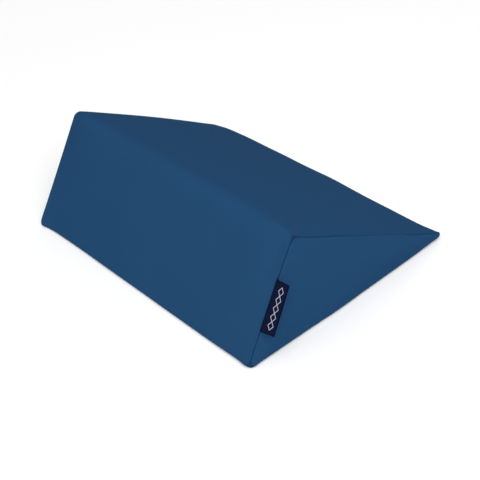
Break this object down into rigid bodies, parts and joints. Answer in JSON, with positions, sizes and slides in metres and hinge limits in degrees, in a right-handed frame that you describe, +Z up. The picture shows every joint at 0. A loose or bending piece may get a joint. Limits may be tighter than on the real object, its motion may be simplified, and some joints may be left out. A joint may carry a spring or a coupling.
{
  "type": "positioning wedge cushion",
  "caption": "Long triangular positioning wedge cushion with a sewn cover of coated fabric, thin towards its tip, and a folded woven label in one end seam.",
  "frame": {"origin": "middle of the flat base that the cushion lies on", "axes": "+X from the tall face to the thin tip, +Y along the cushion from the labelled end to the far end, +Z up from the base to the ridge"},
  "size_m": [0.3902, 0.5217, 0.1699],
  "materials": {
    "cover": "matte",
    "label": "matte"
  },
  "bodies": {
    "root": {"wedge_cushion": "cover", "end_panel_label_side": "cover", "end_panel_far_side": "cover", "woven_label": "label"}
  },
  "joints": []
}
